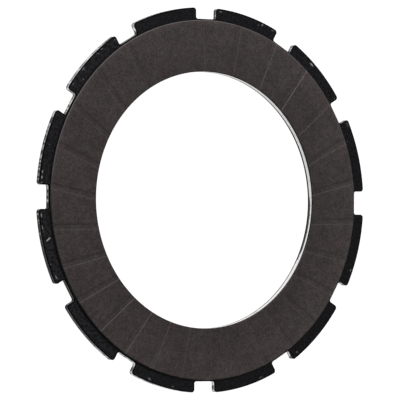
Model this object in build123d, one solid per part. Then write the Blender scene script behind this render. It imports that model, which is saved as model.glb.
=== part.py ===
from build123d import *
import math
import os

# Outer-lug friction disc of a multi-plate clutch, in millimetres.
# A blanked steel core plate carries a bonded friction facing on each side.
# The disc lies flat. Its axis is +Z, the origin is on that axis at mid thickness,
# the front facing looks to +Z and one notch is centred on +X.

# Core plate: a flat blanked ring with broad lugs around its rim
lug_radius = 75.1
bore_radius = 50.0
core_thickness = 2.0
notch_count = 12
notch_width = 9.2
notch_depth = 4.5
lug_corner_radius = 1.2
notch_root_radius = 0.8
notch_floor = lug_radius - notch_depth

# Facings: one continuous ring on each side, flush with the bore
facing_thickness = 0.9
facing_margin = 0.45
facing_edge_break = 0.3
facing_radius = notch_floor - facing_margin

# Grooves: straight shallow channels that fan out from a point beside the axis
groove_count = 28
groove_width = 2.2
groove_depth = 0.15
groove_draft = 45.0
groove_first_angle = 14.6
groove_fan_x = -0.3
groove_fan_y = -9.5


def notches():
    """Parallel-sided notches with flat floors, open to the rim, spread evenly around it."""
    notch = Pos(notch_floor, 0) * Rectangle(lug_radius, notch_width, align=(Align.MIN, Align.CENTER))
    pitch = 360 / notch_count
    return [Rot(0, 0, index * pitch) * notch for index in range(notch_count)]


def corners_at(outline, radius):
    """Corner points of the outline that lie on one circle about the axis."""
    return outline.vertices().filter_by(
        lambda corner: math.isclose(math.hypot(corner.X, corner.Y), radius, abs_tol=1e-4)
    )


def core_outline():
    """Blanked outline: a notched disc with rounded lug tips and notch roots, and the bore."""
    outline = Circle(lug_radius) - notches()
    outline = fillet(corners_at(outline, lug_radius), lug_corner_radius)
    root_radius = math.hypot(notch_floor, notch_width / 2)
    outline = fillet(corners_at(outline, root_radius), notch_root_radius)
    return outline - Circle(bore_radius)


def core_plate():
    """Flat plate blanked from sheet, lying half above and half below the plane z = 0."""
    return extrude(core_outline(), amount=core_thickness / 2, both=True)


def groove_cutter():
    """Bar along +X with leaning sides, whose section is the groove's own."""
    lean = math.tan(math.radians(groove_draft))
    floor_half = groove_width / 2 - groove_depth * lean
    mouth_half = groove_width / 2 + groove_depth * lean
    floor_height = facing_thickness - groove_depth
    mouth_height = facing_thickness + groove_depth
    section = Plane.YZ * Polygon(
        (-floor_half, floor_height),
        (floor_half, floor_height),
        (mouth_half, mouth_height),
        (-mouth_half, mouth_height),
        align=None,
    )
    reach = facing_radius + math.hypot(groove_fan_x, groove_fan_y)
    return extrude(section, amount=reach)


def facing():
    """Friction ring on the plane z = 0, with its grooved face up and its top edges broken."""
    section = Plane.XZ * Pos(bore_radius, 0) * Rectangle(
        facing_radius - bore_radius, facing_thickness, align=Align.MIN
    )
    face_corners = section.vertices().group_by(Axis.Z)[-1]
    ring = revolve(chamfer(face_corners, facing_edge_break), Axis.Z)
    cutter = groove_cutter()
    fan = Pos(groove_fan_x, groove_fan_y, 0) * Rot(0, 0, groove_first_angle)
    pitch = 360 / groove_count
    grooves = [fan * Rot(0, 0, index * pitch) * cutter for index in range(groove_count)]
    return ring - grooves


# Both facings come from one mould, so the rear one is the front one turned over
front = Pos(0, 0, core_thickness / 2) * facing()
nodes = {
    "core_plate": core_plate(),
    "front_facing": front,
    "rear_facing": Rot(0, 180, 0) * front,
}

os.makedirs("parts", exist_ok=True)
for name, shape in nodes.items():
    export_step(shape, f"parts/{name}.step")
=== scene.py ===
import math

import bpy
import numpy as np
from mathutils import Matrix, Vector


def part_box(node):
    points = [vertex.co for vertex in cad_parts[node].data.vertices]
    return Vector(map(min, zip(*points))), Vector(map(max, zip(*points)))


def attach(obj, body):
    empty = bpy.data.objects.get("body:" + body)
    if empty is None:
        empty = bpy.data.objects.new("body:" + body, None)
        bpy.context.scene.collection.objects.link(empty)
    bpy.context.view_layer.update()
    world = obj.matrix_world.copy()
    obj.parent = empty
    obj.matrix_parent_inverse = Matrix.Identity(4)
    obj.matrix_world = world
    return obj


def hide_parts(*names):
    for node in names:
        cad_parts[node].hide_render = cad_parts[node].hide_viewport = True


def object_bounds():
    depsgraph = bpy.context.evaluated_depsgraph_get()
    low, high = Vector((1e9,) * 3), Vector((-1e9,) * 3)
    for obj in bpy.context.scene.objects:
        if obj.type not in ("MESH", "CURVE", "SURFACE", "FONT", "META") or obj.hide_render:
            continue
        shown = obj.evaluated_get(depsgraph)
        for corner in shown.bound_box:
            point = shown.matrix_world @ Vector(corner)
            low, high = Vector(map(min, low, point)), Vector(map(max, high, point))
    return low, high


# Looks of the clutch disc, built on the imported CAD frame.
# Lengths are millimetres and angles degrees, until a mesh, lamp or camera is made in metres.
# The disc lies flat with its axis on +Z, its front facing up and one notch centred on +X.
# A place around the disc is an angle about that axis, from +X towards +Y.
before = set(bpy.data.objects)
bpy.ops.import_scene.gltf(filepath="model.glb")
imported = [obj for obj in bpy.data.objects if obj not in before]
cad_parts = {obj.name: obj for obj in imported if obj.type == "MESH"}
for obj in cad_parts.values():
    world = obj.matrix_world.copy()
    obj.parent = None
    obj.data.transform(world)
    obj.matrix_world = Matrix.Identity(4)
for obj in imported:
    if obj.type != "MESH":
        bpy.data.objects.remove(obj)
cad_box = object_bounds()
mm = 0.001


def reach(node):
    """Smallest and largest distance of a CAD node's points from the disc's axis."""
    points = np.array([vertex.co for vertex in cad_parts[node].data.vertices])
    distance = np.hypot(points[:, 0], points[:, 1]) / mm
    return distance.min(), distance.max()


def heights(node):
    """Lowest and highest height of a CAD node."""
    low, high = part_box(node)
    return low.z / mm, high.z / mm


# Core plate, from the frame and the source's own notch sizes
bore_radius, lug_radius = reach("core_plate")
core_bottom, core_top = heights("core_plate")
notch_count = 12
notch_width = 9.2
notch_depth = 4.5
lug_corner_radius = 1.2
notch_root_radius = 0.8
notch_floor = lug_radius - notch_depth
notch_pitch = 360 / notch_count

# Edges that the blanking die leaves: rolled over in front, a small burr behind
roll_width = 0.15
roll_height = 0.13
burr_radius = 0.07

# Share of the rolled edge that is left around +X, where the die cut cleanest
least_roll = 0.15

# Distances from the rolled edge, on the front face, at which the coat ends and dark bare steel starts
coat_edge = 0.45
bare_edge = 0.18

# Depth of the pits in the blanked walls
pit_depth = 0.07

# Largest distance between two columns of points on the outline
outline_step = 0.31

# Facings, from the frame and the source's own groove sizes
facing_bore, facing_radius = reach("front_facing")
facing_bottom, facing_top = heights("front_facing")
facing_thickness = facing_top - facing_bottom
facing_edge_break = 0.3
groove_count = 28
groove_width = 2.2
groove_depth = 0.15
groove_draft = 45.0
groove_first_angle = 14.6
groove_fan = (-0.3, -9.5)
groove_pitch = 360 / groove_count

# How far the pressed outer edge of a facing swells past its flat bevel
edge_swell = 0.03

# Ring under the facings from which the core plate's faces are ruled outwards
hidden_radius = facing_radius - 1.4

# Middles of the stretches where a facing's pressed outer edge gets a painted highlight and where it is
# painted darkest as shade
lit_edge_side = 120.0
shaded_side = 222.0

# Directions between which the grooves' pressed walls are fainter
faint_start, faint_end = 17.0, 50.0

# Side towards which the facings' colour turns cooler
cool_side = 40.0

# Painted light on a groove's walls, glints and lightened shade, as groove direction and strength: the wall
# that comes before the groove's middle on the way round, and the wall that comes after it
groove_light_before = [
    (40, 0.00),
    (53, 0.45),
    (66, 0.22),
    (92, 0.28),
    (105, 0.00),
    (220, 0.00),
    (233, 0.35),
    (246, 0.15),
    (259, 0.00),
    (272, 0.30),
    (297, 0.10),
    (310, 0.00),
]
groove_light_after = [
    (-50, 0.00),
    (-37, 0.21),
    (-24, 0.45),
    (-11, 0.62),
    (27, 0.68),
    (40, 0.58),
    (53, 0.40),
    (66, 0.00),
]

# Painted shade on the core plate's outer walls, as place and strength, below 0 where a wall gets painted
# light instead
painted_wall_shade = [
    (75, 0.00),
    (105, -0.10),
    (115, 0.50),
    (125, 0.50),
    (130, -0.25),
    (142, -0.25),
    (150, -0.10),
    (165, 0.22),
    (180, 0.08),
    (195, 0.50),
    (210, 0.85),
    (225, 0.75),
    (233, 0.00),
    (237, -0.10),
    (245, -0.10),
    (255, -0.25),
    (285, 0.00),
]

# Place of the notch side that gets a painted highlight
lit_notch_side = 116.4

# Dust and painted sheen on the coat, as place and strength, with one row for the middle of each lug
lug_dust_and_sheen = [
    (15, 0.00),
    (45, 0.26),
    (75, 0.07),
    (105, 0.07),
    (135, 0.97),
    (165, 0.36),
    (195, 1.00),
    (225, 0.75),
    (255, 0.16),
    (285, 0.00),
    (315, 0.00),
    (345, 0.00),
]

# Stretches of the core plate's bore wall where its dark band reaches higher, where it sits lower and
# lighter, and where it is dulled
band_raise_start, band_raise_end = -28.0, 4.0
band_drop_start, band_drop_end = -62.0, -26.0
dulled_start, dulled_end = -15.0, 96.0

# Middle of the stretch where the painted shade on the facings' bore walls is darkest, how far from it they
# start and stop turning paler with painted light, and how pale those of the front and the rear facing turn
dark_middle = 12.0
pale_start, pale_end = 18.0, 48.0
front_pale, rear_pale = 0.4, 1.0

# Chips and specks in the black coat on the front faces of the lugs:
# place, radius, length, width, turn outwards from the rim's direction, brightness
chips = [
    (19.9, 71.5, 0.6, 0.5, 49, 0.06),
    (25.0, 74.06, 2.0, 0.5, 0, 0.07),
    (34.3, 73.6, 1.1, 0.35, 81, 0.06),
    (47.65, 73.9, 1.9, 0.6, 0, 0.28),
    (65.3, 74.2, 1.5, 0.3, 0, 0.12),
    (69.3, 74.1, 0.8, 0.7, 60, 0.17),
    (70.6, 73.35, 0.9, 0.45, -35, 0.08),
    (84.8, 74.0, 1.1, 0.5, 0, 0.17),
    (124.5, 73.8, 1.0, 0.35, 0, 0.07),
    (129.8, 74.18, 0.8, 0.35, 0, 0.20),
    (131.6, 73.9, 0.8, 0.4, 48, 0.09),
    (138.6, 73.45, 0.5, 0.25, 42, 0.09),
    (138.56, 74.23, 1.5, 0.3, 0, 0.22),
    (140.95, 71.66, 0.7, 0.5, 20, 0.09),
    (144.3, 74.0, 1.0, 0.5, -13, 0.08),
    (164.3, 73.13, 0.5, 0.3, -17, 0.08),
    (172.6, 74.0, 1.2, 0.5, 0, 0.22),
    (174.3, 74.0, 1.3, 0.5, 4, 0.26),
    (176.0, 74.0, 0.9, 0.5, 0, 0.22),
    (185.5, 74.1, 1.5, 0.45, 0, 0.27),
    (189.1, 74.16, 1.5, 0.4, 0, 0.17),
    (190.3, 74.1, 0.5, 0.4, 0, 0.10),
    (192.9, 72.5, 2.2, 0.5, 60, 0.36),
    (200.2, 74.15, 0.5, 0.4, 0, 0.10),
    (204.4, 73.7, 1.6, 0.45, -10, 0.20),
    (250.0, 73.84, 1.5, 0.8, 24, 0.11),
    (258.7, 73.97, 1.4, 0.5, -12, 0.07),
    (290.7, 74.0, 2.0, 0.4, 0, 0.08),
    (306.1, 73.5, 0.9, 0.6, 34, 0.11),
    (338.7, 74.1, 1.0, 0.5, 0, 0.14),
]


def value_noise(points, cell, seed):
    """Smooth noise from 0 to 1: random values on a cubic lattice of cells, blended by smoothstep."""
    lattice = np.asarray(points, float) / cell
    base = np.floor(lattice).astype(np.int64)
    part = lattice - base
    part = part * part * (3 - 2 * part)
    total = np.zeros(lattice.shape[:-1])
    for corner in np.ndindex(2, 2, 2):
        x, y, z = np.moveaxis((base + corner) & 0xFFFF, -1, 0)
        mixed = x * 73856093 ^ y * 19349663 ^ z * 83492791 ^ seed * 2654435761
        mixed = (mixed ^ mixed >> 13) * 1274126177 & 0x7FFFFFFF
        mixed = (mixed ^ mixed >> 16) & 0xFFFFF
        share = np.prod(np.where(corner, part, 1 - part), axis=-1)
        total += share * mixed / 0xFFFFF
    return total


def soft_step(values, low, high):
    """0 below low, 1 above high, and a smoothstep between them."""
    share = np.clip((np.asarray(values, float) - low) / (high - low), 0, 1)
    return share * share * (3 - 2 * share)


def stretch(values, start, end, rise, fall):
    """1 from start to end, with a smoothstep up over rise at the start and down over fall at the end."""
    return soft_step(values, start, start + rise) * (1 - soft_step(values, end - fall, end))


def strength_at(table, angles):
    """Strengths read from a table of angle and strength, in straight lines from row to row, right round."""
    at, strength = np.array(table).T
    return np.interp(angles, at, strength, period=360)


def lifted(plane, height):
    """Points in space over points of the plane, at one height for all or one for each."""
    return np.concatenate([plane, np.broadcast_to(height, len(plane))[:, None]], axis=-1)


def turned(vectors, degrees):
    """Plane vectors turned about the axis."""
    c, s = math.cos(math.radians(degrees)), math.sin(math.radians(degrees))
    return vectors @ np.array([[c, s], [-s, c]])


def arms(angles):
    """Plane unit vectors at angles in radians."""
    return np.stack([np.cos(angles), np.sin(angles)], axis=-1)


def run(start, end, step):
    """Evenly spaced values from start up to, and without, end, no further apart than step."""
    count = max(2, math.ceil(abs(end - start) / step))
    return start + (end - start) * np.arange(count) / count


def ring_mesh(name, grid, attributes):
    """Closed ring through a grid of points, section rows by turns about the axis, joined both ways.

    The rows run up the inner wall, outwards over the top, down the outer wall and back underneath,
    so a face takes its corners as row, next row, next row's next column, next column, and looks outwards.
    """
    sharpest_smooth = 38
    rows, columns = grid.shape[:2]
    row, column = np.meshgrid(np.arange(rows), np.arange(columns), indexing="ij")
    next_row, next_column = (row + 1) % rows, (column + 1) % columns
    corners = [row * columns + column, next_row * columns + column]
    corners += [next_row * columns + next_column, row * columns + next_column]
    faces = np.stack(corners, axis=-1).reshape(-1, 4)
    mesh = bpy.data.meshes.new(name)
    mesh.vertices.add(rows * columns)
    mesh.vertices.foreach_set("co", (grid * mm).astype(np.float32).ravel())
    mesh.loops.add(faces.size)
    mesh.loops.foreach_set("vertex_index", faces.astype(np.int32).ravel())
    mesh.polygons.add(len(faces))
    mesh.polygons.foreach_set("loop_start", np.arange(0, faces.size, 4, dtype=np.int32))
    mesh.polygons.foreach_set("use_smooth", np.ones(len(faces), bool))
    for title, values in attributes:
        layer = mesh.attributes.new(title, "FLOAT", "POINT")
        layer.data.foreach_set("value", values.astype(np.float32).ravel())
    mesh.update(calc_edges=True)
    mesh.set_sharp_from_angle(angle=math.radians(sharpest_smooth))
    mesh.validate()
    piece = bpy.data.objects.new(name, mesh)
    bpy.context.scene.collection.objects.link(piece)
    return piece


def half_outline():
    """Half a pitch of the blanked outline, from a notch's middle on +X to a lug's middle.

    A straight notch floor, a hollow root arc, a straight notch side, a rounded lug tip and the rim's arc.
    Gives the points, their outward normals and, for each, the angle of its place on the hidden ring.
    The hidden ring's angles run evenly over the floor and root, over the side and tip, and over the rim.
    """
    half_width = notch_width / 2
    root_centre = np.array([notch_floor + notch_root_radius, half_width - notch_root_radius])
    tip_height = half_width + lug_corner_radius
    tip_reach = math.sqrt((lug_radius - lug_corner_radius) ** 2 - tip_height**2)
    tip_centre = np.array([tip_reach, tip_height])
    tip_end = math.degrees(math.atan2(tip_height, tip_reach))

    flat_y = run(0, root_centre[1], outline_step)
    flat = np.stack([np.full_like(flat_y, notch_floor), flat_y], axis=-1)
    flat_normal = np.tile([1.0, 0.0], (len(flat), 1))

    root_arm = arms(np.radians(run(180, 90, math.degrees(outline_step / notch_root_radius))))
    root = root_centre + notch_root_radius * root_arm

    side_x = run(root_centre[0], tip_centre[0], outline_step)
    side = np.stack([side_x, np.full_like(side_x, half_width)], axis=-1)
    side_normal = np.tile([0.0, -1.0], (len(side), 1))

    tip_arm = arms(np.radians(run(-90, tip_end, math.degrees(outline_step / lug_corner_radius))))
    tip = tip_centre + lug_corner_radius * tip_arm

    rim_arm = arms(np.radians(run(tip_end, notch_pitch / 2, math.degrees(outline_step / lug_radius))))

    points = np.concatenate([flat, root, side, tip, lug_radius * rim_arm])
    normals = np.concatenate([flat_normal, -root_arm, side_normal, tip_arm, rim_arm])
    side_spread = 2.2
    root_ring = math.degrees(math.asin((half_width + roll_width) / hidden_radius))
    tip_ring = root_ring + side_spread
    root_end = len(flat) + len(root)
    tip_last = root_end + len(side) + len(tip)
    stations = [0, root_end, tip_last, len(points)]
    ring = np.interp(np.arange(len(points)), stations, [0, root_ring, tip_ring, notch_pitch / 2])
    return points, normals, ring


def outline():
    """Whole blanked outline: each pitch is the half outline and its mirror image about the lug's middle."""
    points, normals, ring = half_outline()
    lug_middle = notch_pitch / 2
    flip = np.array([1.0, -1.0])
    last_normal = arms(np.radians([lug_middle]))
    mirror_points = turned(points[:0:-1] * flip, notch_pitch)
    mirror_normals = turned(normals[:0:-1] * flip, notch_pitch)
    pitch_points = np.concatenate([points, lug_radius * last_normal, mirror_points])
    pitch_normals = np.concatenate([normals, last_normal, mirror_normals])
    pitch_ring = np.concatenate([ring, [lug_middle], notch_pitch - ring[:0:-1]])
    turns = [index * notch_pitch for index in range(notch_count)]
    all_points = np.concatenate([turned(pitch_points, turn) for turn in turns])
    all_normals = np.concatenate([turned(pitch_normals, turn) for turn in turns])
    all_ring = np.concatenate([pitch_ring + turn for turn in turns])
    return all_points, all_normals, np.radians(all_ring)


def core_row(plane, height, bare, tarnish_and_shade=1.0, dust_and_sheen=0.0):
    """One row of the core plate's section: its points and height, and its three attributes, 0 to 1."""
    return plane, height, bare, tarnish_and_shade, dust_and_sheen


def bore_wall(around, place):
    """Rows up the core plate's bore wall: bright steel above, dark below an edge that wavers with a noise.

    The edge's height is a share of the wall's. It is lower away from +X and on one stretch, where the dark
    is also lighter, and higher on another. Dark flecks lie on the bright steel.
    """
    dark_share, dark_waver, dark_cell = 0.12, 0.10, 1.7
    band_raise_share, band_raise_waver, band_raise_cell = 0.33, 0.08, 0.9
    blur = 0.04
    fleck_strength, fleck_cell = 0.55, 0.6
    dull_strength = 0.20
    away_lowering, band_drop_lowering, band_drop_lightening = 0.45, 0.5625, 0.35
    band_raise = stretch(place, band_raise_start, band_raise_end, rise=4, fall=5)
    band_drop = stretch(place, band_drop_start, band_drop_end, rise=12, fall=5)
    dulled = dull_strength * stretch(place, dulled_start, dulled_end, rise=20, fall=30)
    away = soft_step(np.abs(place), 32, 46)
    lowered = 1 - np.maximum(away_lowering * away, band_drop_lowering * band_drop)
    wall = bore_radius * around
    rows = []
    for height in np.linspace(core_bottom, core_top, 15):
        share = (height - core_bottom) / (core_top - core_bottom)
        spot = lifted(wall, height)
        edge = (dark_share + dark_waver * value_noise(spot, dark_cell, 11)) * lowered
        edge = edge + band_raise * (band_raise_share + band_raise_waver * value_noise(spot, band_raise_cell, 13))
        dark = 1 - soft_step(share, edge - blur, edge + blur)
        fleck = soft_step(value_noise(spot, fleck_cell, 12), 0.62, 0.9) * fleck_strength * (1 - band_drop)
        bare = 1 - dark * (1 - band_drop_lightening * band_drop)
        rows.append(core_row(wall, height, bare, np.maximum(fleck, dulled)))
    return rows


def front_face(points, normals, around, place, roll_share):
    """Rows out over the core plate's front face: coat with dust and painted sheen, a strip of dark bare
    steel, the rolled edge.

    The face is ruled from the hidden ring to the outline. The rolled edge is a quarter ellipse.
    """
    hidden = hidden_radius * around
    roll = (roll_width * roll_share)[:, None]
    coat_end = points - (roll + coat_edge) * normals
    dust_and_sheen_strength = strength_at(lug_dust_and_sheen, place)
    rows = [core_row(hidden, core_top, 0)]
    # The coat beside the facing gets no dust or sheen and stays darker; further out it gets dust and
    # painted sheen by place
    for share, dust_and_sheen in ((0.35, 0), (0.43, dust_and_sheen_strength), (0.7, dust_and_sheen_strength), (1.0, dust_and_sheen_strength)):
        rows.append(core_row(hidden * (1 - share) + coat_end * share, core_top, 0, dust_and_sheen=dust_and_sheen))
    rows.append(core_row(points - (roll + bare_edge) * normals, core_top, 1))
    for turn in np.radians(np.linspace(0, 90, 5)):
        inset = roll * (1 - math.sin(turn))
        drop = roll_height * roll_share * (1 - math.cos(turn))
        rows.append(core_row(points - inset * normals, core_top - drop, 1))
    return rows


def torn(points, height):
    """How deeply blanking tore a wall at a height, 0 to 1: pits, and streaks that run from face to face."""
    spot = lifted(points, height)
    pits = value_noise(spot, 0.60, 3)
    streaks = value_noise(spot * [1, 1, 0.35], 0.75, 5)
    return soft_step(pits * 0.35 + streaks * 0.65, 0.36, 0.64)


def outer_wall(points, normals, place, roll_share):
    """Rows down the core plate's blanked outer wall: torn, in painted shade and light by place, darker over
    its fractured rear half.

    A dark line runs along the rear edge, and another along the front edge, wider where there is painted
    shade.
    """
    plain_dark, fractured_dark, pit_dark, highlight_strength = 0.30, 0.22, 0.58, 0.95
    wall_top = core_top - roll_height * roll_share
    wall_bottom = core_bottom + burr_radius
    # Painted highlight on the notch side at that place, away from the notch floor
    along_end = 1 - soft_step(np.abs(place - lit_notch_side), 0.4, 0.9)
    from_axis = np.hypot(points[:, 0], points[:, 1])
    notch_highlight = along_end * soft_step(from_axis, notch_floor + 0.8, notch_floor + 1.8)
    wall_shade = strength_at(painted_wall_shade, place) - highlight_strength * notch_highlight
    # Painted shade and light by place, with less shade where the lit notch side gets its painted highlight
    rows = []
    for height in np.linspace(wall_top, wall_bottom, 14)[1:]:
        pits = torn(points, height)
        rear_line = 1 - soft_step(height - wall_bottom, 0.15, 0.36)
        front_line = 1 - soft_step(wall_top - height, 0.18 + 0.7 * wall_shade, 0.42 + 0.9 * wall_shade)
        fractured = fractured_dark * (1 - soft_step(height, -0.35, 0.25))
        worn = plain_dark + fractured + wall_shade + pit_dark * pits
        tarnish_and_shade = np.clip(worn, np.maximum(rear_line, front_line), 1)
        sink = pit_depth * pits[:, None]
        rows.append(core_row(points - sink * normals, height, 1, tarnish_and_shade))
    return rows


def rear_face(points, normals, around):
    """Rows round the burr, a quarter circle, and back under the rear face, ruled to the hidden ring."""
    rows = []
    for turn in np.radians(np.linspace(0, 90, 3))[1:]:
        inset = burr_radius * (1 - math.cos(turn))
        lift = burr_radius * (1 - math.sin(turn))
        rows.append(core_row(points - inset * normals, core_bottom + lift, 1))
    burr = points - burr_radius * normals
    for share in (0.6, 0.0):
        rows.append(core_row(hidden_radius * around * (1 - share) + burr * share, core_bottom, 0))
    return rows


def steel_core():
    """Core plate: the blanked outline carried through the plate's section, row by row.

    The rows go up the bore wall, out over the front face, down the outer wall and back under the rear
    face. The attribute bare is 1 on bare steel and 0 on the black coat, tarnish and painted shade blacken
    bare steel, and dust and painted sheen grey the coat. The rolled edge fades to its least share on the
    side of +X.
    """
    points, normals, ring = outline()
    around = arms(ring)
    place = np.degrees(np.arctan2(points[:, 1], points[:, 0]))
    roll_share = 1 - (1 - least_roll) * soft_step(np.cos(np.radians(place)), 0.0, 0.6)
    rows = bore_wall(around, place)
    rows += front_face(points, normals, around, place, roll_share)
    rows += outer_wall(points, normals, place, roll_share)
    rows += rear_face(points, normals, around)
    planes, levels, *strengths = zip(*rows)
    grid = np.stack([lifted(plane, level) for plane, level in zip(planes, levels)])
    titles = ("bare", "tarnish_and_shade", "dust_and_sheen")
    columns = len(points)
    spread = [np.stack([np.broadcast_to(value, columns) for value in values]) for values in strengths]
    return ring_mesh("steel_core", grid, list(zip(titles, spread)))


def groove_columns():
    """Columns of a facing: for each groove some that follow it, then plain ones on to the next groove.

    Gives for each column its groove's direction, the offset from the groove's middle line, the share
    of the way gone to the next groove, the depth cut away, and 1 on the groove's two walls.
    """
    plain_columns = 12
    crease = 0.02
    lean = groove_depth * math.tan(math.radians(groove_draft))
    mouth, foot = groove_width / 2, groove_width / 2 - lean
    flank = np.array([foot - crease, foot + crease, (foot + mouth) / 2, mouth - crease, mouth + crease])
    across = np.concatenate([-flank[::-1], [-foot / 3, foot / 3], flank])
    drop = np.clip((mouth - np.abs(across)) / lean, 0, 1)
    steps = np.arange(1, plain_columns + 1) / (plain_columns + 1)
    plain = np.zeros(plain_columns)
    offset = np.concatenate([across, np.full(plain_columns, across[-1])])
    gone = np.concatenate([np.zeros(len(across)), steps])
    depth = np.concatenate([drop * groove_depth, plain])
    wall = np.concatenate([1.0 * ((drop > 0.01) & (drop < 0.99)), plain])
    directions = groove_first_angle + groove_pitch * np.arange(groove_count)
    return np.repeat(directions, len(offset)), *np.tile([offset, gone, depth, wall], groove_count)


def line_angle(degrees, offset, radius):
    """Angle about the axis at which a line from the fan's point, moved sideways, meets a circle."""
    along = arms(np.radians(degrees))
    sideways = np.stack([-along[..., 1], along[..., 0]], axis=-1)
    start = np.array(groove_fan) + offset[..., None] * sideways
    dot = np.sum(start * along, axis=-1)
    travel = -dot + np.sqrt(dot**2 - np.sum(start**2, axis=-1) + radius**2)
    place = start + travel[..., None] * along
    return np.arctan2(place[..., 1], place[..., 0])


def facing_section():
    """Facing's section: up the bore wall, over the face between two broken edges, down the outer wall.

    Gives radius, height over the facing's foot, how far a point is on a cut edge, which is painted in
    shade, and how much the rim is lifted by wear and a painted highlight.
    The inner broken edge is a flat bevel, and the outer one swells by a sine.
    """
    # How dark the cut edges are painted, as shade
    bore_shade, outer_shade = 0.92, 1.0
    # Lift of the face towards its outer rim, from wear, cut back by painted shade on the shaded stretch
    rim_lift, rim_lift_width = 0.10, 2.0
    shoulder = facing_thickness - facing_edge_break
    face_start, face_end = facing_bore + facing_edge_break, facing_radius - facing_edge_break
    section = [(facing_bore, level, bore_shade, 0) for level in np.linspace(0, shoulder, 4)]
    for share in (0.5, 0.0):
        away = facing_edge_break * share
        section.append((face_start - away, facing_thickness - away, 0, 0))
    for radius in np.linspace(face_start, face_end, 26)[1:]:
        rim_wear_and_light = rim_lift * soft_step(radius, face_end - 0.2 - rim_lift_width, face_end - 0.2)
        section.append((radius, facing_thickness, 0, rim_wear_and_light))
    # The outer broken edge carries a painted highlight, set by side among the wear attributes
    for share, rim_wear_and_light in ((0.25, 1.0), (0.5, 1.0), (0.75, 1.0), (1.0, 0.4)):
        away = facing_edge_break * share
        swell = edge_swell * math.sin(math.pi * share)
        section.append((face_end + away + swell, facing_thickness - away + swell, 0, rim_wear_and_light))
    section += [(facing_radius, level, outer_shade, 0) for level in np.linspace(shoulder, 0, 4)[1:]]
    return np.array(section, float).T[:, :, None]


def facing_wear(section, columns, angle, azimuth, pale_strength):
    """Attributes of a facing, 0 to 1: cut on its cut edges in painted shade, pressed on the groove walls,
    and painted highlights and wear where pale.

    The pressed outer edge gets a painted highlight, most on one side, and painted shade as dark as a cut
    edge on another.
    The groove walls get painted light by direction. The bore wall is a cut edge in painted shade that turns
    paler with painted light away from the middle of its darkest stretch. The angle is a column's place
    before the rear ring is turned over, and the azimuth its place after that.
    """
    least_lit, fainter = 0.35, 0.4
    radius, _, cut, rim_wear_and_light = section
    groove, offset, _, _, wall = columns
    # Painted shade on one stretch of the pressed outer edge, and a painted highlight on the lit side
    shaded = soft_step(np.cos(angle - math.radians(shaded_side)), 0.60, 0.88)
    lit = least_lit + (1 - least_lit) * soft_step(np.cos(angle - math.radians(lit_edge_side)), 0.0, 0.8)
    pressed_edge = rim_wear_and_light > 0.3
    rim_highlight_and_wear = rim_wear_and_light * np.where(pressed_edge, lit * (1 - shaded), 1 - 0.8 * shaded)
    # Painted light on the groove walls, by groove direction and side
    groove_light = np.where(offset < 0, strength_at(groove_light_before, groove), strength_at(groove_light_after, groove))
    # Painted shade on the bore wall turns paler with painted light away from its darkest stretch
    from_middle = np.degrees(np.arccos(np.cos(azimuth - math.radians(dark_middle))))
    pale = pale_strength * soft_step(from_middle, pale_start, pale_end) * (radius == facing_bore)
    faint = stretch(groove, faint_start, faint_end, rise=3, fall=3)
    dark = np.maximum(cut * (1 - pale), pressed_edge * rim_wear_and_light * shaded)
    pressed = wall * (1 - cut) * (1 - fainter * faint)
    highlight_and_wear = np.maximum(np.maximum(rim_highlight_and_wear, groove_light * wall), pale)
    return [("cut", dark), ("pressed", pressed), ("highlight_and_wear", highlight_and_wear)]


def friction_ring(name, front):
    """Facing: its section turned about the axis and cut by the fan of grooves.

    Columns run along the groove walls. A point's height is the lower of the section's own and the
    groove's floor. The rear ring is the front one turned over about Y.
    """
    section, columns = facing_section(), groove_columns()
    radius, section_level = section[:2]
    groove, offset, gone, depth = columns[:4]
    here = line_angle(groove, offset, radius)
    onward = line_angle(groove + groove_pitch, np.full_like(offset, offset.min()), radius)
    angle = here + gone * np.mod(onward - here, 2 * math.pi)
    level = np.minimum(section_level, facing_thickness - depth)
    side = 1 if front else -1
    x, y, z = side * radius * np.cos(angle), radius * np.sin(angle), side * (facing_bottom + level)
    wear = facing_wear(section, columns, angle, np.arctan2(y, x), front_pale if front else rear_pale)
    return ring_mesh(name, np.stack([x, y, z], axis=-1), wear)


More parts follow.
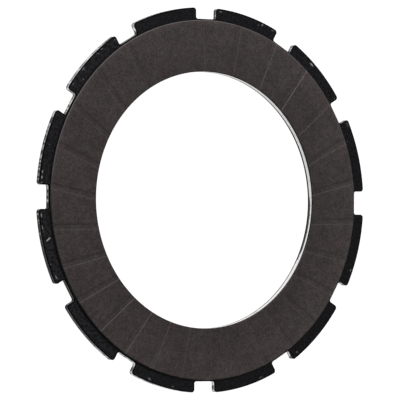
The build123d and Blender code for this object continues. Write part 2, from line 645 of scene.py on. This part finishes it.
class Shader:
    """Short way to add and link the nodes of one material."""

    def __init__(self, name):
        self.material = bpy.data.materials.new(name)
        self.material.use_nodes = True
        self.tree = self.material.node_tree
        self.surface = self.tree.nodes["Principled BSDF"]

    def feed(self, socket, value):
        """Link a socket into another, or set it to a plain value."""
        if isinstance(value, bpy.types.NodeSocket):
            self.tree.links.new(value, socket)
        else:
            socket.default_value = value

    def node(self, kind, inputs=(), **settings):
        """Node of one kind, with its settings and inputs."""
        made = self.tree.nodes.new(kind)
        for key, value in settings.items():
            setattr(made, key, value)
        for socket, value in dict(inputs).items():
            self.feed(made.inputs[socket], value)
        return made

    def vector(self, operation, inputs, output="Vector"):
        """Vector arithmetic."""
        return self.node("ShaderNodeVectorMath", inputs, operation=operation).outputs[output]

    def math(self, operation, first, second):
        """Arithmetic on two numbers."""
        return self.node("ShaderNodeMath", {0: first, 1: second}, operation=operation).outputs[0]

    def place(self):
        """Object coordinates in millimetres."""
        coordinates = self.node("ShaderNodeTexCoord").outputs["Object"]
        size = (1 / mm, 1 / mm, 1 / mm)
        return self.node("ShaderNodeMapping", {"Vector": coordinates, "Scale": size}).outputs["Vector"]

    def along(self, azimuth):
        """Distance from the axis towards an azimuth."""
        a = math.radians(azimuth)
        return self.vector("DOT_PRODUCT", {0: self.place(), 1: (math.cos(a), math.sin(a), 0)}, "Value")

    def noise(self, size, detail, rough=0.5):
        """Noise whose features are about size across."""
        inputs = {"Vector": self.place(), "Scale": 1 / size, "Detail": detail, "Roughness": rough}
        return self.node("ShaderNodeTexNoise", inputs).outputs["Fac"]

    def remap(self, value, low, high, to_low=0.0, to_high=1.0):
        """Value carried from low and high to two others in a straight line, and held beyond them."""
        inputs = {"Value": value, "From Min": low, "From Max": high, "To Min": to_low, "To Max": to_high}
        return self.node("ShaderNodeMapRange", inputs).outputs["Result"]

    def mix(self, share, first, second):
        """Colour between first and second."""
        made = self.node("ShaderNodeMix", data_type="RGBA")
        self.feed(made.inputs["Factor"], share)
        self.feed(made.inputs[6], first)
        self.feed(made.inputs[7], second)
        return made.outputs[2]

    def dim(self, colour, factor):
        """Colour times a factor."""
        return self.vector("SCALE", {0: colour, "Scale": factor})

    def attribute(self, title):
        """Value of one of the piece's own attributes."""
        return self.node("ShaderNodeAttribute", attribute_name=title).outputs["Fac"]

    def chipped(self):
        """Brightness of the chips: balls squashed to each chip's length and width, with ragged outlines."""
        wobble_frequency, wobble, chip_height = 2.2, 0.5, 0.4
        inner, outer = 0.7, 1.2
        place = self.place()
        inputs = {"Vector": place, "Scale": wobble_frequency, "Detail": 2.0}
        ragged = self.node("ShaderNodeTexNoise", inputs).outputs["Color"]
        centred = self.vector("SUBTRACT", {0: ragged, 1: (0.5, 0.5, 0.5)})
        bent = self.vector("ADD", {0: place, 1: self.dim(centred, wobble)})
        total = 0.0
        for angle, radius, length, width, turn, brightness in chips:
            at = math.radians(angle)
            inputs = {
                "Vector": bent,
                "Location": (radius * math.cos(at), radius * math.sin(at), core_top),
                "Rotation": (0, 0, at + math.radians(90 - turn)),
                "Scale": (length / 2, width / 2, chip_height),
            }
            spot = self.node("ShaderNodeMapping", inputs, vector_type="TEXTURE").outputs["Vector"]
            away = self.vector("LENGTH", {0: spot}, "Value")
            total = self.math("ADD", self.remap(away, outer, inner, 0.0, brightness), total)
        return total

    def bump(self, height, strength, distance):
        """Fine relief from a height pattern."""
        inputs = {"Height": height, "Strength": strength, "Distance": distance * mm}
        relief = self.node("ShaderNodeBump", inputs).outputs["Normal"]
        self.feed(self.surface.inputs["Normal"], relief)


def facing_finish():
    """Friction facing: dark warm grey, fine speckle of fibres, soft mottling, matt, cut edges in near black
    painted shade.

    The face is a mix of speckle and clouds, times a tint that turns cooler towards one side, times two
    sizes of patches. It also brightens from the bore to the rim with painted light, hardly at all on the
    side of -X.
    """
    dark_fibre, light_fibre = (0.0112, 0.0069, 0.0069, 1), (0.0754, 0.0605, 0.0603, 1)
    warm, cool = (0.0495, 0.0362, 0.0362, 1), (0.042, 0.0388, 0.0380, 1)
    warm_tint, cool_tint = (0.999, 0.967, 0.973, 1), (1.000, 1.048, 1.012, 1)
    cloud_share = 0.31
    # The second colour is a painted highlight, used for wear too
    groove_wall, highlight_and_wear = (0.057, 0.049, 0.049, 1), (0.112, 0.097, 0.095, 1)
    # Near black painted shade on the cut edges
    edge_shade = (0.004, 0.0035, 0.0035, 1)

    shader = Shader("friction_facing")
    grain = shader.noise(0.72, detail=3.0, rough=0.75)
    speckled = shader.mix(shader.remap(grain, 0.30, 0.70), dark_fibre, light_fibre)
    clouds = shader.mix(shader.remap(shader.noise(5.0, detail=1.0), 0.35, 0.65), warm, cool)
    tint = shader.mix(shader.remap(shader.along(cool_side), -30, 65), warm_tint, cool_tint)
    face = shader.vector("MULTIPLY", {0: shader.mix(cloud_share, speckled, clouds), 1: tint})
    patches = shader.remap(shader.noise(2.6, detail=2.0), 0.30, 0.70, 0.88, 1.12)
    drifts = shader.remap(shader.noise(9.0, detail=2.0), 0.30, 0.70, 0.88, 1.12)
    face = shader.dim(face, shader.math("MULTIPLY", patches, drifts))
    # Painted light: the face brightens towards its rim, hardly at all on the side of -X
    from_axis = shader.vector("LENGTH", {0: shader.place()}, "Value")
    outward = shader.remap(from_axis, facing_bore, facing_radius, -0.13, 0.17)
    outward = shader.math("MULTIPLY", outward, shader.remap(shader.along(0), -65, 0, 0.1, 1.0))
    face = shader.dim(face, shader.math("ADD", 1.0, outward))
    pressed = shader.attribute("pressed")
    face = shader.mix(pressed, face, groove_wall)
    # Painted highlights and wear: the pale outer edge, lit groove walls, paler bore walls and the rim's
    # wear
    face = shader.mix(shader.attribute("highlight_and_wear"), face, highlight_and_wear)
    # Painted shade on the cut edges and on the shaded stretch of the outer edge
    shader.feed(shader.surface.inputs["Base Color"], shader.mix(shader.attribute("cut"), face, edge_shade))
    matt = shader.remap(grain, 0.3, 0.7, 0.86, 0.96)
    roughness = shader.math("SUBTRACT", matt, shader.math("MULTIPLY", pressed, 0.5))
    shader.feed(shader.surface.inputs["Roughness"], roughness)
    shader.surface.inputs["Specular IOR Level"].default_value = 0.3
    shader.bump(grain, strength=0.35, distance=0.05)
    return shader.material


def core_finish():
    """Core plate: satin black coat with dust, painted sheen and chips, bare steel on its edges and blanked
    walls.
    """
    dark_coat, light_coat = (0.0000, 0.0001, 0.0009, 1), (0.0010, 0.0010, 0.0024, 1)
    dust_and_sheen, chip = (0.0150, 0.0150, 0.0172, 1), (1, 1, 1, 1)
    dull_steel, bright_steel = (0.58, 0.57, 0.57, 1), (0.94, 0.93, 0.92, 1)
    black_steel = (0.004, 0.004, 0.004, 1)
    coat_roughness, steel_roughness = (0.42, 0.42, 0.42, 1), (0.33, 0.33, 0.33, 1)

    shader = Shader("core_steel")
    bare = shader.attribute("bare")
    grit = shader.noise(0.30, detail=2.0)
    coat = shader.mix(shader.remap(shader.noise(7.0, detail=3.0), 0.35, 0.65), dark_coat, light_coat)
    smears = shader.remap(shader.noise(0.9, detail=1.5), 0.42, 0.58)
    # Dust and painted sheen grey the coat in smears, more on some lugs than on others
    film_and_sheen = shader.math("MULTIPLY", smears, shader.remap(shader.attribute("dust_and_sheen"), 0, 1, 0.40, 1.25))
    coat = shader.mix(film_and_sheen, coat, dust_and_sheen)
    coat = shader.mix(shader.chipped(), coat, chip)
    steel = shader.mix(shader.remap(grit, 0.3, 0.7), dull_steel, bright_steel)
    # Tarnish and painted shade blacken the steel
    steel = shader.mix(shader.attribute("tarnish_and_shade"), steel, black_steel)
    shader.feed(shader.surface.inputs["Base Color"], shader.mix(bare, coat, steel))
    shader.feed(shader.surface.inputs["Metallic"], bare)
    shader.feed(shader.surface.inputs["Roughness"], shader.mix(bare, coat_roughness, steel_roughness))
    shader.surface.inputs["Specular IOR Level"].default_value = 0.235
    shader.bump(grit, strength=0.25, distance=0.04)
    return shader.material


def floor_finish():
    """White light table: it glows evenly and returns little of the lamps' light, so it shows no shadow."""
    shader = Shader("light_table")
    shader.surface.inputs["Base Color"].default_value = (0.06, 0.06, 0.06, 1)
    shader.surface.inputs["Roughness"].default_value = 0.9
    shader.surface.inputs["Emission Color"].default_value = (1, 1, 1, 1)
    shader.surface.inputs["Emission Strength"].default_value = 1.03
    return shader.material


def floor():
    """Plain floor a hair's breadth under the disc, so that it doesn't lie in the rear facing's own face."""
    half_side, clearance = 6.0, 0.05 * mm
    level = cad_box[0].z - clearance
    corners = [(x * half_side, y * half_side, level) for x, y in ((-1, -1), (1, -1), (1, 1), (-1, 1))]
    mesh = bpy.data.meshes.new("floor")
    mesh.from_pydata(corners, [], [(0, 1, 2, 3)])
    piece = bpy.data.objects.new("floor", mesh)
    bpy.context.scene.collection.objects.link(piece)
    return piece


def direction(azimuth, elevation):
    """Unit vector to a place seen from the disc: azimuth from +X towards +Y, elevation above the floor."""
    a, e = math.radians(azimuth), math.radians(elevation)
    return Vector((math.cos(a) * math.cos(e), math.sin(a) * math.cos(e), math.sin(e)))


def softbox(name, azimuth, elevation, distance, size, power):
    """Rectangular area lamp that faces the disc. Distance and size are in metres, power in watts."""
    lamp = bpy.data.lights.new(name, "AREA")
    lamp.shape = "RECTANGLE"
    lamp.size, lamp.size_y = size
    lamp.energy = power
    towards = direction(azimuth, elevation)
    holder = bpy.data.objects.new(name, lamp)
    holder.location = towards * distance
    holder.rotation_euler = towards.to_track_quat("Z", "Y").to_euler()
    bpy.context.scene.collection.objects.link(holder)


def lighting():
    """A broad lamp from +Y, a small low one, a soft high one and a dim, even surround."""
    softbox("key_lamp", azimuth=94, elevation=42, distance=1.6, size=(1.35, 0.74), power=19.7)
    softbox("glint_lamp", azimuth=125, elevation=25, distance=1.3, size=(0.2, 0.2), power=0.6)
    softbox("high_lamp", azimuth=115, elevation=62, distance=1.6, size=(1.0, 1.0), power=5)
    world = bpy.data.worlds.new("surround")
    world.use_nodes = True
    world.node_tree.nodes["Background"].inputs["Color"].default_value = (0.22, 0.22, 0.22, 1)
    bpy.context.scene.world = world


def camera():
    """Camera of the photograph: it looks at a point just beside the disc's axis, and is rolled."""
    aim = Vector((-1.858, -0.025, 0.0)) * mm
    azimuth, elevation, roll = 182.594, 57.404, 88.090
    distance, lens, sensor = 1465.3, 338.58, 36.0
    back = direction(azimuth, elevation)
    level = Vector((0, 0, 1)).cross(back).normalized()
    raised = back.cross(level)
    right = level * math.cos(math.radians(roll)) + raised * math.sin(math.radians(roll))
    up = back.cross(right)
    lens_data = bpy.data.cameras.new("camera")
    lens_data.lens = lens
    lens_data.sensor_width = sensor
    lens_data.clip_start, lens_data.clip_end = 0.01, 50.0
    made = bpy.data.objects.new("camera", lens_data)
    turn = Matrix((right, up, back)).transposed().to_4x4()
    made.matrix_world = Matrix.Translation(aim + back * distance * mm) @ turn
    bpy.context.scene.collection.objects.link(made)
    bpy.context.scene.camera = made


core = steel_core()
core.data.materials.append(core_finish())
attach(core, "root")
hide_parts("core_plate")

facing_look = facing_finish()
for title, node, front in (("front_ring", "front_facing", True), ("rear_ring", "rear_facing", False)):
    ring = friction_ring(title, front)
    ring.data.materials.append(facing_look)
    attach(ring, "root")
    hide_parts(node)

table = floor()
table.data.materials.append(floor_finish())

lighting()
camera()
bpy.context.scene.view_settings.view_transform = "Standard"
